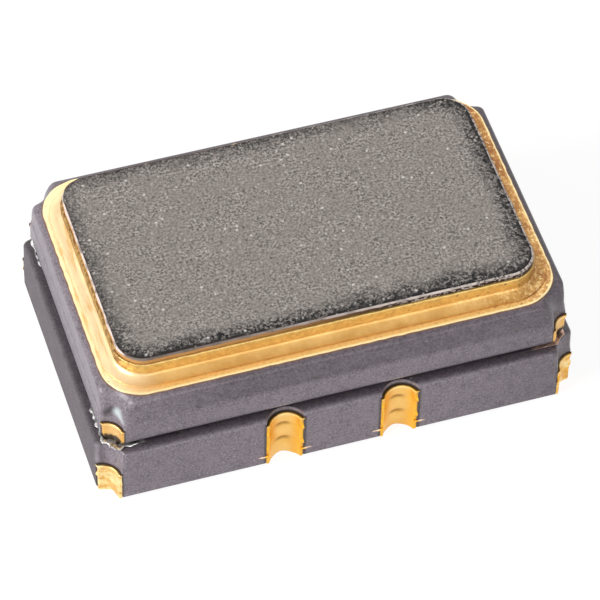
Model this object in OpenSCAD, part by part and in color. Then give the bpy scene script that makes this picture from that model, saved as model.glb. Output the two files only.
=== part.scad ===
// Two-deck surface-mount crystal oscillator. A seam-welded crystal package is soldered
// on top of a ceramic deck that carries the oscillator chip and the solder terminals.
// Millimetres, +Z up, long side along X. The origin is the centre of the underside,
// on the plane of the solder terminals.

/* [Lower deck] */
// Length of the lower ceramic deck
base_length = 5.0; // [4.8:0.05:6]
// Width of the lower ceramic deck
base_width = 3.2; // [3.1:0.05:4]
// Thickness of its floor layer, two sheets of ceramic
base_floor_thickness = 0.215; // [0.18:0.005:0.3]
// Thickness of each of its two frame layers
base_frame_thickness = 0.23; // [0.2:0.01:0.35]
// Thickness of the wall round the chip cavity
base_wall = 0.75; // [0.6:0.01:0.85]
// Corner radius of the chip cavity
base_cavity_r = 0.15; // [0.05:0.01:0.25]
// Radius of the round notch at each corner
base_notch_r = 0.21; // [0.15:0.01:0.25]
// Radius of the round notches in the long sides
side_notch_r = 0.205; // [0.16:0.005:0.26]
// How deep those notches reach into the side
side_notch_depth = 0.14; // [0.1:0.005:0.18]
// Spacing of the two notches in a long side
side_notch_pitch = 1.2; // [1.0:0.05:1.5]
// Rounding of the deck's top edge
base_top_edge_r = 0.05; // [0.02:0.005:0.07]

/* [Upper deck] */
// How far each side stands in from the lower deck
package_setback = 0.075; // [0.04:0.005:0.12]
// Thickness of its floor layer
package_floor_thickness = 0.32; // [0.2:0.005:0.4]
// Thickness of its frame layer
package_frame_thickness = 0.31; // [0.25:0.01:0.45]
// How far the frame layer stands in from the floor layer
package_layer_step = 0.012; // [0.004:0.002:0.03]
// Thickness of the wall round the crystal cavity
package_wall = 0.55; // [0.54:0.01:0.6]
// Corner radius of the crystal cavity
package_cavity_r = 0.1; // [0.05:0.01:0.2]
// Radius of the round notch at each corner
package_notch_r = 0.19; // [0.16:0.01:0.24]
// Rounding of the top edge
package_top_edge_r = 0.06; // [0.03:0.005:0.09]
// Rounding of the bottom edge
package_bottom_edge_r = 0.09; // [0.04:0.005:0.11]

/* [Terminals] */
// Thickness of the plated pads and of the plating where two layers meet
plating_thickness = 0.02; // [0.012:0.002:0.03]
// Thickness of the plating in the middle of a layer, where it swells
plating_swell = 0.045; // [0.036:0.001:0.06]
// Height of the groove that is left where two layers meet
groove_flat = 0.03; // [0.015:0.005:0.05]
// How far the pads on the underside stay inside the deck's sides
pad_setback = 0.06; // [0.03:0.01:0.08]
// Length of a corner pad on the underside
corner_pad_length = 0.85; // [0.6:0.05:1.1]
// Width of a corner pad on the underside
corner_pad_width = 0.8; // [0.6:0.05:1.0]
// Width of a side pad on the underside, along the long side
side_pad_width = 0.7; // [0.55:0.05:0.8]
// Length of a side pad on the underside, inward from the long side
side_pad_length = 0.75; // [0.5:0.05:1.0]
// Bare ceramic above the plating of a side notch
side_bare_height = 0.07; // [0.05:0.01:0.15]
// Bare ceramic above the plating of a corner notch, up to the joint of its two frame layers
corner_bare_height = 0.075; // [0.04:0.005:0.1]
// Bare ceramic above the plating of the upper deck's notches, up to the joint of its layers
package_bare_height = 0.085; // [0.04:0.005:0.12]
// Length of the printed land that shows beside a side notch
land_edge_length = 0.09; // [0.05:0.01:0.14]
// Thickness of that land
land_edge_thickness = 0.014; // [0.008:0.001:0.025]
// How far it reaches into the ceramic
land_edge_depth = 0.05; // [0.03:0.01:0.1]
// How far it stands proud of the ceramic
land_edge_proud = 0.004; // [0.002:0.001:0.01]

/* [Solder between the decks] */
// Thickness of the solder
solder_thickness = 0.016; // [0.01:0.002:0.04]
// Thickness of the lands above and below it
land_thickness = 0.012; // [0.008:0.002:0.02]
// Length of a soldered land
solder_land_length = 0.7; // [0.5:0.05:0.9]
// Width of a soldered land
solder_land_width = 0.6; // [0.45:0.05:0.7]
// How far the upper deck's lands stay inside its flat underside
land_margin = 0.01; // [0.005:0.001:0.015]
// How far the solder and the lands below it stay inside the upper deck's outline
solder_margin = 0.02; // [0.01:0.005:0.08]
// Bare rim left between them and the lower deck's corner notch
notch_rim = 0.012; // [0.006:0.002:0.03]

/* [Seal and lid] */
// Flat ceramic left outside the gold of the seal
seal_margin = 0.01; // [0.005:0.005:0.04]
// Outer corner radius of the gold
seal_corner_r = 0.42; // [0.38:0.01:0.46]
// Thickness of the gold-plated metal layer on the ceramic
seal_thickness = 0.015; // [0.01:0.001:0.03]
// Width of that layer inside the seal ring
seal_inner_margin = 0.02; // [0.01:0.005:0.03]
// Width of that layer outside the seal ring, along the long sides
ring_setback = 0.195; // [0.16:0.005:0.215]
// Width of that layer outside the seal ring, at the two ends
ring_end_setback = 0.165; // [0.15:0.005:0.2]
// Outer corner radius of the seal ring
ring_corner_r = 0.305; // [0.29:0.005:0.36]
// Width of the seal ring
ring_width = 0.22; // [0.18:0.01:0.23]
// Height of the seal ring
ring_height = 0.185; // [0.15:0.005:0.3]
// Height of the braze fillet on the ring's outer wall
braze_height = 0.065; // [0.04:0.005:0.14]
// Width of the braze fillet on the metal layer
braze_width = 0.1; // [0.05:0.005:0.14]
// Thickness of the braze at its two edges
braze_tip = 0.012; // [0.006:0.002:0.02]
// How far the lid's edge stands in from the ring's outer wall
lid_setback = 0.014; // [0.004:0.002:0.04]
// Thickness of the lid
lid_thickness = 0.075; // [0.07:0.005:0.12]
// Rounding of the lid's top edge
lid_edge_r = 0.025; // [0.01:0.005:0.035]
// Rounding of its lower edge, which leaves the groove of the weld seam
lid_seam_r = 0.02; // [0.005:0.005:0.03]

/* [Crystal] */
// Gap between the crystal blank and the ends of its cavity
blank_end_gap = 0.15; // [0.1:0.01:0.3]
// Gap between the crystal blank and the sides of its cavity
blank_side_gap = 0.2; // [0.12:0.01:0.22]
// Thickness of the crystal blank
blank_thickness = 0.08; // [0.05:0.01:0.15]
// Length of an electrode's field
electrode_length = 1.9; // [1.4:0.05:2.2]
// Width of an electrode's field
electrode_width = 1.1; // [0.8:0.05:1.2]
// Thickness of an electrode
electrode_thickness = 0.01; // [0.006:0.002:0.02]
// Width of an electrode's lead
lead_width = 0.3; // [0.2:0.01:0.34]
// Length of the contact under the mounted end of the blank
contact_length = 0.4; // [0.3:0.01:0.5]
// Length of a crystal mounting pad
crystal_pad_length = 0.5; // [0.4:0.01:0.6]
// Width of a crystal mounting pad
crystal_pad_width = 0.55; // [0.52:0.01:0.65]
// Thickness of a crystal mounting pad
crystal_pad_thickness = 0.05; // [0.03:0.005:0.1]
// Gap between a mounting pad and the cavity walls
crystal_pad_gap = 0.1; // [0.08:0.01:0.14]
// Diameter of a dot of conductive adhesive
glue_diameter = 0.3; // [0.2:0.01:0.38]
// Thickness of the adhesive
glue_thickness = 0.04; // [0.02:0.005:0.08]
// How much narrower a dot is on top than at its foot
glue_taper = 0.08; // [0.02:0.01:0.12]

/* [Chip] */
// Length of the oscillator chip
chip_length = 1.6; // [1.3:0.05:2.2]
// Width of the oscillator chip
chip_width = 1.2; // [1.0:0.05:1.3]
// Thickness of the oscillator chip
chip_thickness = 0.2; // [0.12:0.01:0.3]
// Diameter of a chip bump
bump_diameter = 0.09; // [0.06:0.01:0.12]
// Height of a chip bump
bump_height = 0.03; // [0.02:0.005:0.05]
// Bumps along each long side of the chip
bumps_per_side = 5; // [3:1:6]
// Distance of the bumps' centres from the chip's edges
bump_inset = 0.12; // [0.09:0.01:0.18]
// Size of the square land under each bump
chip_land_size = 0.14; // [0.12:0.01:0.17]
// Thickness of those lands
chip_land_thickness = 0.01; // [0.006:0.002:0.02]
// How far the underfill spreads past the chip's edges
underfill_spread = 0.12; // [0.06:0.01:0.15]
// How far the underfill climbs up the chip's sides
underfill_climb = 0.1; // [0.05:0.01:0.11]
// Thickness of the resin at its upper edge
underfill_rim = 0.01; // [0.005:0.001:0.02]

/* [Hidden] */
$fn = 64;
// How far cuts run past the faces that they open
overrun = 0.1;

// Signs of X and Y at each corner and at each side notch
corners = [["front_left", -1, -1], ["front_right", 1, -1], ["back_left", -1, 1], ["back_right", 1, 1]];
// Signs of Y at the two crystal mounts
mount_sides = [["front", -1], ["back", 1]];

// Heights of the joints between the pieces, from the underside up
base_underside_z = plating_thickness;
base_floor_z = base_underside_z + base_floor_thickness;
base_frame_z = base_floor_z + base_frame_thickness;
base_top_z = base_frame_z + base_frame_thickness;
side_plating_z = base_top_z - side_bare_height;
corner_plating_z = base_frame_z - corner_bare_height;
solder_z = base_top_z + land_thickness;
solder_top_z = solder_z + solder_thickness;
package_underside_z = solder_top_z + land_thickness;
package_floor_z = package_underside_z + package_floor_thickness;
package_plating_z = package_floor_z - package_bare_height;
package_top_z = package_floor_z + package_frame_thickness;
seal_top_z = package_top_z + seal_thickness;
ring_top_z = seal_top_z + ring_height;

// Outer sizes that follow from the lower deck, each as length and width
base_size = [base_length, base_width];
package_size = inset(base_size, package_setback);
frame_size = inset(package_size, package_layer_step);
seal_size = inset(frame_size, package_top_edge_r + seal_margin);
ring_size = [seal_size.x - 2 * ring_end_setback, seal_size.y - 2 * ring_setback];
lid_size = inset(ring_size, lid_setback);
solder_land = [solder_land_length, solder_land_width];
ring_inner_size = inset(ring_size, ring_width);
seal_inner_size = inset(ring_inner_size, seal_inner_margin);
base_cavity_size = inset(base_size, base_wall);
crystal_cavity_size = inset(package_size, package_wall);

// Corner radii of the ring and the lid, which share their centres
lid_r = ring_corner_r - lid_setback;
ring_inner_r = ring_corner_r - ring_width;
seal_inner_r = ring_inner_r - seal_inner_margin;

// Depth to which pads and lands run into the plating of a notch
plating_root = plating_thickness / 2;
// Depth to which the lid's flat core runs into its rounded edge
lid_root = min(lid_edge_r, lid_seam_r) / 2;
// Depth to which the upper deck's frame layer runs into its floor layer
frame_root = package_floor_thickness / 4;

// Notches in the long sides: their centre line, and half their opening at the face
side_notch_y = base_width / 2 + side_notch_r - side_notch_depth;
side_notch_half = sqrt(pow(side_notch_r, 2) - pow(side_notch_r - side_notch_depth, 2));

// Crystal blank and its mounts
blank_size = [crystal_cavity_size.x - 2 * blank_end_gap, crystal_cavity_size.y - 2 * blank_side_gap];
blank_end_x = -blank_size.x / 2;
glue_z = package_floor_z + crystal_pad_thickness;
contact_z = glue_z + glue_thickness;
blank_z = contact_z + electrode_thickness;
blank_top_z = blank_z + blank_thickness;
crystal_pad_x = -crystal_cavity_size.x / 2 + crystal_pad_gap + crystal_pad_length / 2;
crystal_pad_y = crystal_cavity_size.y / 2 - crystal_pad_gap - crystal_pad_width / 2;

// Chip heights and the pitch of its bumps
bump_z = base_floor_z + chip_land_thickness;
chip_z = bump_z + bump_height;
bump_pitch = (chip_length - 2 * bump_inset) / (bumps_per_side - 1);
bump_y = chip_width / 2 - bump_inset;

// A size set in by the same margin on all four sides
function inset(size, margin) = [size.x - 2 * margin, size.y - 2 * margin];

// Rectangle about the origin with round corners
module rounded_rectangle(size, radius) {
    square([size.x - 2 * radius, size.y], center = true);
    square([size.x, size.y - 2 * radius], center = true);
    for (corner = corners)
        translate([corner[1] * (size.x / 2 - radius), corner[2] * (size.y / 2 - radius)])
            circle(radius);
}

// Plate with round corners, from z upward
module rounded_plate(size, radius, z, thickness) {
    translate([0, 0, z])
        linear_extrude(thickness)
            rounded_rectangle(size, radius);
}

// Flat frame between two rounded rectangles
module rounded_frame(outer, outer_r, inner, inner_r, z, thickness) {
    translate([0, 0, z])
        linear_extrude(thickness)
            difference() {
                rounded_rectangle(outer, outer_r);
                rounded_rectangle(inner, inner_r);
            }
}

// Section that stands outside a rounded rectangle, carried once round it.
// The section's X is the distance outward from the rectangle and its Y the height above z.
module carry_round(size, radius, z) {
    straight = inset(size, radius);
    translate([0, 0, z])
        for (corner = corners) {
            translate([corner[1] * straight.x / 2, corner[2] * straight.y / 2, 0])
                rotate(corner[1] > 0 ? (corner[2] > 0 ? 0 : 270) : (corner[2] > 0 ? 90 : 180))
                    rotate_extrude(angle = 90)
                        translate([radius, 0])
                            children();
        }
    for (side = [0, 1], turn = [0, 180])
        rotate(side * 90 + turn)
            translate([size[side] / 2, straight[1 - side] / 2, z])
                rotate([90, 0, 0])
                    linear_extrude(straight[1 - side])
                        children();
}

// Section of one ceramic layer across its span, with its lower and upper edges rounded
module layer_section(span, thickness, lower_r, upper_r) {
    translate([-span / 2, lower_r])
        square([span, thickness - lower_r - upper_r]);
    if (lower_r > 0)
        rounded_edges(span, lower_r, lower_r, -1);
    if (upper_r > 0)
        rounded_edges(span, thickness - upper_r, upper_r, 1);
}

// Strip on one edge of a layer, with a quarter round at each end. It runs from height y,
// upward where way is 1 and downward where it is -1.
module rounded_edges(span, y, radius, way) {
    translate([radius - span / 2, way > 0 ? y : y - radius])
        square([span - 2 * radius, radius]);
    for (end = [-1, 1])
        translate([end * (span / 2 - radius), y])
            intersection() {
                circle(radius);
                translate([end > 0 ? 0 : -radius, way > 0 ? 0 : -radius])
                    square(radius);
            }
}

// Ceramic layer whose four long edges are rounded, from z upward
module layer(size, z, thickness, lower_r, upper_r) {
    translate([0, 0, z])
        intersection() {
            translate([0, size.y / 2, 0])
                rotate([90, 0, 0])
                    linear_extrude(size.y)
                        layer_section(size.x, thickness, lower_r, upper_r);
            translate([-size.x / 2, 0, 0])
                rotate([90, 0, 90])
                    linear_extrude(size.x)
                        layer_section(size.y, thickness, lower_r, upper_r);
        }
}

// Upright round cuts at the four corners of a deck
module corner_cuts(size, radius, z, height) {
    for (corner = corners)
        translate([corner[1] * size.x / 2, corner[2] * size.y / 2, z - overrun])
            rotate(atan2(corner[2], corner[1]))
                cylinder(r = radius, h = height + 2 * overrun);
}

// Upright round cut along the axis of one notch in a long side
module side_cut(x_sign, y_sign, radius, z, height) {
    translate([x_sign * side_notch_pitch / 2, y_sign * side_notch_y, z - overrun])
        cylinder(r = radius, h = height + 2 * overrun);
}

// Section of the plating in a notch, at its distance from the notch's axis. The plating of
// each layer swells in an arc and leaves a groove where it meets the next layer.
// joints lists the heights of the layers' joints, and the plating ends at the height top.
module plating_section(notch_r, joints, top) {
    swell = plating_swell - plating_thickness;
    intersection() {
        translate([notch_r - plating_swell, joints[0]])
            square([plating_swell, top - joints[0]]);
        union() {
            translate([notch_r - plating_thickness, joints[0]])
                square([plating_thickness, top - joints[0]]);
            for (i = [1 : len(joints) - 1]) {
                half = (joints[i] - joints[i - 1] - groove_flat) / 2;
                arc_r = (half * half + swell * swell) / (2 * swell);
                translate([notch_r - plating_swell + arc_r, (joints[i] + joints[i - 1]) / 2])
                    circle(arc_r);
            }
        }
    }
}

// Plating in the notch of one corner of a deck
module corner_plating(size, notch_r, joints, top, x_sign, y_sign) {
    translate([x_sign * size.x / 2, y_sign * size.y / 2, 0])
        rotate(x_sign > 0 ? (y_sign > 0 ? 180 : 90) : (y_sign > 0 ? 270 : 0))
            rotate_extrude(angle = 90)
                plating_section(notch_r, joints, top);
}

// Lower ceramic deck: a floor layer and two frame layers fired as one piece
module lower_ceramic() {
    height = base_top_z - base_underside_z;
    color("#7a7078")
        difference() {
            layer(base_size, base_underside_z, height, 0, base_top_edge_r);
            rounded_plate(base_cavity_size, base_cavity_r, base_floor_z, height);
            corner_cuts(base_size, base_notch_r, base_underside_z, height);
            for (corner = corners) {
                side_cut(corner[1], corner[2], side_notch_r, base_underside_z, height);
                land_edge(corner[1], corner[2]);
            }
        }
}

// Edge of the printed land between the two sheets of the floor layer, beside a side notch
module land_edge(x_sign, y_sign) {
    reach = 2 * (side_notch_half + land_edge_length);
    y = y_sign > 0 ? base_width / 2 - land_edge_depth : -base_width / 2 - land_edge_proud;
    z = base_underside_z + (base_floor_thickness - land_edge_thickness) / 2;
    difference() {
        translate([x_sign * side_notch_pitch / 2 - reach / 2, y, z])
            cube([reach, land_edge_depth + land_edge_proud, land_edge_thickness]);
        side_cut(x_sign, y_sign, side_notch_r - plating_root, z, land_edge_thickness);
    }
}

// Corner terminal: a pad on the underside that runs up the corner notch into the second layer
module corner_terminal(x_sign, y_sign) {
    joints = [0, base_floor_z, base_frame_z];
    color("#f0be73") {
        corner_plating(base_size, base_notch_r, joints, corner_plating_z, x_sign, y_sign);
        linear_extrude(plating_thickness)
            difference() {
                translate([x_sign * ((base_length - corner_pad_length) / 2 - pad_setback),
                           y_sign * ((base_width - corner_pad_width) / 2 - pad_setback)])
                    square([corner_pad_length, corner_pad_width], center = true);
                translate([x_sign * base_length / 2, y_sign * base_width / 2])
                    circle(base_notch_r - plating_root);
            }
    }
}

// Side terminal: a pad on the underside that runs up the side notch over all three layers
module side_terminal(x_sign, y_sign) {
    joints = [0, base_floor_z, base_frame_z, base_top_z];
    color("#f0be73") {
        intersection() {
            translate([x_sign * side_notch_pitch / 2, y_sign * side_notch_y, 0])
                rotate_extrude()
                    plating_section(side_notch_r, joints, side_plating_z);
            translate([-base_length / 2, -base_width / 2, 0])
                cube([base_length, base_width, base_top_z]);
        }
        linear_extrude(plating_thickness)
            difference() {
                translate([x_sign * side_notch_pitch / 2,
                           y_sign * ((base_width - side_pad_length) / 2 - pad_setback)])
                    square([side_pad_width, side_pad_length], center = true);
                translate([x_sign * side_notch_pitch / 2, y_sign * side_notch_y])
                    circle(side_notch_r - plating_root);
            }
        land_edge(x_sign, y_sign);
    }
}

// Places of the chip's bumps, centred on the deck
module at_bumps() {
    for (i = [0 : bumps_per_side - 1], y_sign = [-1, 1])
        translate([(i - (bumps_per_side - 1) / 2) * bump_pitch, y_sign * bump_y, 0])
            children();
}

// Printed lands on the cavity floor, one under each bump
module chip_lands() {
    color("#e8c27a")
        at_bumps()
            translate([-chip_land_size / 2, -chip_land_size / 2, base_floor_z])
                cube([chip_land_size, chip_land_size, chip_land_thickness]);
}

// Gold bumps that join the chip, face down, to the lands
module chip_bumps() {
    color("#f2c94c")
        at_bumps()
            translate([0, 0, bump_z])
                cylinder(d = bump_diameter, h = bump_height);
}

// Oscillator chip
module oscillator_chip() {
    color("#3c3f46")
        translate([-chip_length / 2, -chip_width / 2, chip_z])
            cube([chip_length, chip_width, chip_thickness]);
}

// Resin under the chip that climbs its sides in a sloping fillet
module chip_underfill() {
    top_z = chip_z + underfill_climb;
    color("#2a2622")
        difference() {
            intersection() {
                translate([0, base_width / 2, 0])
                    rotate([90, 0, 0])
                        linear_extrude(base_width)
                            underfill_section(chip_length, top_z);
                translate([-base_length / 2, 0, 0])
                    rotate([90, 0, 90])
                        linear_extrude(base_length)
                            underfill_section(chip_width, top_z);
            }
            translate([-chip_length / 2, -chip_width / 2, chip_z])
                cube([chip_length, chip_width, chip_thickness]);
            chip_lands();
            chip_bumps();
        }
}

// Section of the underfill across one side of the chip
module underfill_section(span, top_z) {
    foot = span / 2 + underfill_spread;
    rim = span / 2 + underfill_rim;
    polygon([[-foot, base_floor_z], [foot, base_floor_z], [rim, top_z], [-rim, top_z]]);
}

// Rectangle in one corner of a field, less the round notch of a deck at that corner
module notched_land(field, size, deck, notch_r, x_sign, y_sign) {
    difference() {
        translate([x_sign * (field.x - size.x) / 2, y_sign * (field.y - size.y) / 2])
            square(size, center = true);
        translate([x_sign * deck.x / 2, y_sign * deck.y / 2])
            circle(notch_r);
    }
}

// Outline of the solder at one corner, and of the land that it wets on the lower deck
module joint_outline(x_sign, y_sign) {
    field = inset(package_size, solder_margin);
    notched_land(field, solder_land, base_size, base_notch_r + notch_rim, x_sign, y_sign);
}

// Land on top of the lower deck
module deck_land(x_sign, y_sign) {
    color("#f0be73")
        translate([0, 0, base_top_z])
            linear_extrude(land_thickness)
                joint_outline(x_sign, y_sign);
}

// Solder between the two decks
module solder_joint(x_sign, y_sign) {
    color("#c9c9cc")
        translate([0, 0, solder_z])
            linear_extrude(solder_thickness)
                joint_outline(x_sign, y_sign);
}

// Terminal of the upper deck: a land on its underside that runs up the corner notch
module package_terminal(x_sign, y_sign) {
    field = inset(package_size, package_bottom_edge_r + land_margin);
    notch_r = package_notch_r - plating_root;
    joints = [solder_top_z, package_floor_z];
    color("#f0be73") {
        intersection() {
            corner_plating(package_size, package_notch_r, joints, package_plating_z, x_sign, y_sign);
            layer(package_size, solder_top_z, package_floor_z - solder_top_z, package_bottom_edge_r, 0);
        }
        translate([0, 0, solder_top_z])
            linear_extrude(land_thickness)
                notched_land(field, solder_land, package_size, notch_r, x_sign, y_sign);
    }
}

// Upper ceramic deck: a floor layer and a slightly narrower frame layer fired as one piece
module upper_ceramic() {
    height = package_top_z - package_underside_z;
    color("#75686f")
        difference() {
            union() {
                layer(package_size, package_underside_z, package_floor_thickness, package_bottom_edge_r, 0);
                layer(frame_size, package_floor_z - frame_root, package_frame_thickness + frame_root,
                      0, package_top_edge_r);
            }
            rounded_plate(crystal_cavity_size, package_cavity_r, package_floor_z, height);
            corner_cuts(package_size, package_notch_r, package_underside_z, height);
        }
}

// Gold-plated metal layer on top of the upper deck
module seal_metallisation() {
    color("#efbb6c")
        rounded_frame(seal_size, seal_corner_r, seal_inner_size, seal_inner_r, package_top_z, seal_thickness);
}

// Braze that runs up the ring's outer wall in a hollow fillet
module braze_fillet() {
    color("#f3c47c")
        carry_round(ring_size, ring_corner_r, seal_top_z)
            braze_section();
}

// Section of the braze: a corner piece hollowed by an arc between its two edges
module braze_section() {
    low = [braze_width, braze_tip];
    high = [braze_tip, braze_height];
    middle = (low + high) / 2;
    chord = norm(high - low);
    arc_r = chord;
    away = [high.y - low.y, low.x - high.x] / chord;
    difference() {
        polygon([[0, 0], [low.x, 0], low, high, [0, high.y]]);
        translate(middle + away * sqrt(arc_r * arc_r - chord * chord / 4))
            circle(arc_r);
    }
}

// Gold-plated seal ring that the lid is welded to
module seal_ring() {
    color("#efb968")
        rounded_frame(ring_size, ring_corner_r, ring_inner_size, ring_inner_r, seal_top_z, ring_height);
}

// Lid: a flat plate with a rounded top edge and a smaller round at its lower edge
module lid() {
    core = inset(lid_size, lid_edge_r + lid_seam_r);
    core_r = lid_r - lid_edge_r - lid_seam_r;
    color("#96918a") {
        rounded_plate(inset(core, -lid_root), core_r + lid_root, ring_top_z, lid_thickness);
        carry_round(core, core_r, ring_top_z)
            lid_edge_section();
    }
}

// Section of the lid's edge, outward from its flat core
module lid_edge_section() {
    reach = lid_edge_r + lid_seam_r;
    translate([0, lid_seam_r])
        square([reach, lid_thickness - lid_edge_r - lid_seam_r]);
    square([reach - lid_seam_r, lid_seam_r]);
    translate([0, lid_thickness - lid_edge_r])
        square([reach - lid_edge_r, lid_edge_r]);
    translate([reach - lid_seam_r, lid_seam_r])
        intersection() {
            circle(lid_seam_r);
            translate([0, -lid_seam_r])
                square(lid_seam_r);
        }
    translate([reach - lid_edge_r, lid_thickness - lid_edge_r])
        intersection() {
            circle(lid_edge_r);
            square(lid_edge_r);
        }
}

// Raised mounting pad on the floor of the crystal cavity
module crystal_pad(y_sign) {
    color("#e8c27a")
        translate([crystal_pad_x - crystal_pad_length / 2,
                   y_sign * crystal_pad_y - crystal_pad_width / 2, package_floor_z])
            cube([crystal_pad_length, crystal_pad_width, crystal_pad_thickness]);
}

// Dot of conductive adhesive between a mounting pad and the blank
module adhesive_dot(y_sign) {
    color("#b8b8b4")
        translate([crystal_pad_x, y_sign * crystal_pad_y, glue_z])
            cylinder(d1 = glue_diameter, d2 = glue_diameter - glue_taper, h = glue_thickness);
}

// Field of an electrode and its lead to the mounted end of the blank, from z upward
module electrode_film(y_sign, z) {
    lead_y = y_sign * crystal_pad_y;
    cross = crystal_pad_y + lead_width / 2;
    translate([0, 0, z])
        linear_extrude(electrode_thickness) {
            square([electrode_length, electrode_width], center = true);
            translate([-electrode_length / 2, y_sign > 0 ? 0 : -cross])
                square([lead_width, cross]);
            translate([blank_end_x, lead_y - lead_width / 2])
                square([-blank_end_x - electrode_length / 2 + lead_width, lead_width]);
        }
}

// Electrode under the blank, with its lead to the front mount
module bottom_electrode() {
    color("#d9cfae")
        electrode_film(-1, contact_z);
}

// Quartz blank, held at one end
module quartz_blank() {
    color("#dfe6ea")
        translate([blank_end_x, -blank_size.y / 2, blank_z])
            cube([blank_size.x, blank_size.y, blank_thickness]);
}

// Electrode on top of the blank, whose lead folds round the mounted end to the back mount
module top_electrode() {
    fold = [blank_end_x - electrode_thickness, crystal_pad_y - lead_width / 2, contact_z];
    color("#d9cfae") {
        electrode_film(1, blank_top_z);
        translate(fold)
            cube([electrode_thickness, lead_width, blank_thickness + 2 * electrode_thickness]);
        translate(fold)
            cube([contact_length, lead_width, electrode_thickness]);
    }
}

lower_ceramic();
for (corner = corners) {
    corner_terminal(corner[1], corner[2]);
    side_terminal(corner[1], corner[2]);
    deck_land(corner[1], corner[2]);
    solder_joint(corner[1], corner[2]);
    package_terminal(corner[1], corner[2]);
}
chip_lands();
chip_bumps();
chip_underfill();
oscillator_chip();
upper_ceramic();
seal_metallisation();
braze_fillet();
seal_ring();
lid();
for (mount = mount_sides) {
    crystal_pad(mount[1]);
    adhesive_dot(mount[1]);
}
bottom_electrode();
quartz_blank();
top_electrode();
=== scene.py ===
import math

import bmesh
import bpy
import numpy as np
from mathutils import Matrix, Vector


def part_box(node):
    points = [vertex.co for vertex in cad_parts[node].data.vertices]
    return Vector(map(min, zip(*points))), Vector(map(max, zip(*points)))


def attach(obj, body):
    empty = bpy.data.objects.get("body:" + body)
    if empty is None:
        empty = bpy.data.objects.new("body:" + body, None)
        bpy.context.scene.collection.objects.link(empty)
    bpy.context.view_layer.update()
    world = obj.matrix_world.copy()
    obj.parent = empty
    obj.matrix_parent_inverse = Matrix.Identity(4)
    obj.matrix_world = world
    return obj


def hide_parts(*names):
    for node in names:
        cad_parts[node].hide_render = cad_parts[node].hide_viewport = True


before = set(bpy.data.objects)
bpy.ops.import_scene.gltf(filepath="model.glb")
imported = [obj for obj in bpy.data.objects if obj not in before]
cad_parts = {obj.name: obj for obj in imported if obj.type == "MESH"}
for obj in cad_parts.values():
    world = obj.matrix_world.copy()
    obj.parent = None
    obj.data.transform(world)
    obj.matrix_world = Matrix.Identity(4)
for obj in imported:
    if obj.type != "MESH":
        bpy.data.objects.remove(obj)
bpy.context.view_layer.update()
scene = bpy.context.scene
mm = 0.001  # lengths below are in mm, and a mesh gets them in metres
weld = 1e-5  # points closer than this are one point
hardAngle = 38  # edges sharper than this, in degrees, are not smoothed
support = 0.01  # distance of an extra loop from a round, so that the flat beside it shades flat
quarter = math.pi / 2
corners = {"front_left": (-1, -1), "front_right": (1, -1), "back_left": (-1, 1), "back_right": (1, 1)}
print("frame loaded:", len(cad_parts), "nodes")


# Lowest and highest corner of a node, in mm
def nodeBox(node):
    low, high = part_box(node)
    return np.array(low) / mm, np.array(high) / mm


# Shader maths

# A socket in a material. Sums on it add Math nodes, and node() adds any other kind of node.
class Wire:
    def __init__(self, tree, made=None, out=0):
        self.tree, self.made = tree, made
        self.socket = made.outputs[out] if made and len(made.outputs) else None

    def node(self, kind, settings=None, sockets=None, out=0):
        made = self.tree.nodes.new(kind)
        for name, value in (settings or {}).items():
            setattr(made, name, value)
        for name, value in (sockets or {}).items():
            if isinstance(value, Wire):
                self.tree.links.new(value.socket, made.inputs[name])
            else:
                made.inputs[name].default_value = value
        return Wire(self.tree, made, out)

    def vector(self, operation, sockets, out=0):
        return self.node("ShaderNodeVectorMath", {"operation": operation}, sockets, out)

    def other(self, out):
        return Wire(self.tree, self.made, out)

    def sum(self, operation, first, second=0.0):
        return self.node("ShaderNodeMath", {"operation": operation}, {0: first, 1: second})

    def __add__(self, other):
        return self.sum("ADD", self, other)

    __radd__ = __add__

    def __sub__(self, other):
        return self.sum("SUBTRACT", self, other)

    def __rsub__(self, other):
        return self.sum("SUBTRACT", other, self)

    def __mul__(self, other):
        return self.sum("MULTIPLY", self, other)

    def most(self, other):
        return self.sum("MAXIMUM", self, other)

    def least(self, other):
        return self.sum("MINIMUM", self, other)

    # This value without its sign
    def size(self):
        return self.sum("ABSOLUTE", self)

    # Length of a line that goes so far one way and so far across it
    def length(self, other):
        return self.sum("SQRT", self * self + other * other)

    # 0 at low, 1 at high, eased at both ends
    def fade(self, low, high):
        return self.node("ShaderNodeMapRange", {"interpolation_type": "SMOOTHSTEP"},
                         {"Value": self, "From Min": low, "From Max": high})

    # 1 at a value, falling to 0 at half a width on either side of it
    def line(self, value, width):
        return (self - value).size().fade(width / 2, 0.0)

    # First colour where this value is 0, second where it is 1
    def tint(self, first, second):
        first, second = (c if isinstance(c, Wire) else paint(*c) for c in (first, second))
        return self.node("ShaderNodeMix", {"data_type": "RGBA", "clamp_factor": True},
                         {0: self, 6: first, 7: second}, 2)


# A colour as it is seen on a screen, 0 to 255, made linear
def paint(red, green, blue):
    seen = np.array([red, green, blue]) / 255
    linear = np.where(seen <= 0.04045, seen / 12.92, ((seen + 0.055) / 1.055) ** 2.4)
    return (*linear.tolist(), 1.0)


# An emptied tree of a material or of the world
def emptyTree(holder):
    holder.use_nodes = True
    holder.node_tree.nodes.clear()
    return Wire(holder.node_tree)


# A material and the place on the object in mm
def newFinish(name):
    material = bpy.data.materials.new(name)
    place = emptyTree(material).node("ShaderNodeTexCoord", out="Object")
    return material, place.vector("SCALE", {0: place, "Scale": 1 / mm})


# A place's distance to the right, to the back and up
def axes(place):
    across = place.node("ShaderNodeSeparateXYZ", {}, {0: place}, "X")
    return across, across.other("Y"), across.other("Z")


def noise(place, scale, detail, rough):
    sockets = {"Vector": place, "Scale": scale, "Detail": detail, "Roughness": rough}
    return place.node("ShaderNodeTexNoise", {}, sockets)


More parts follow.
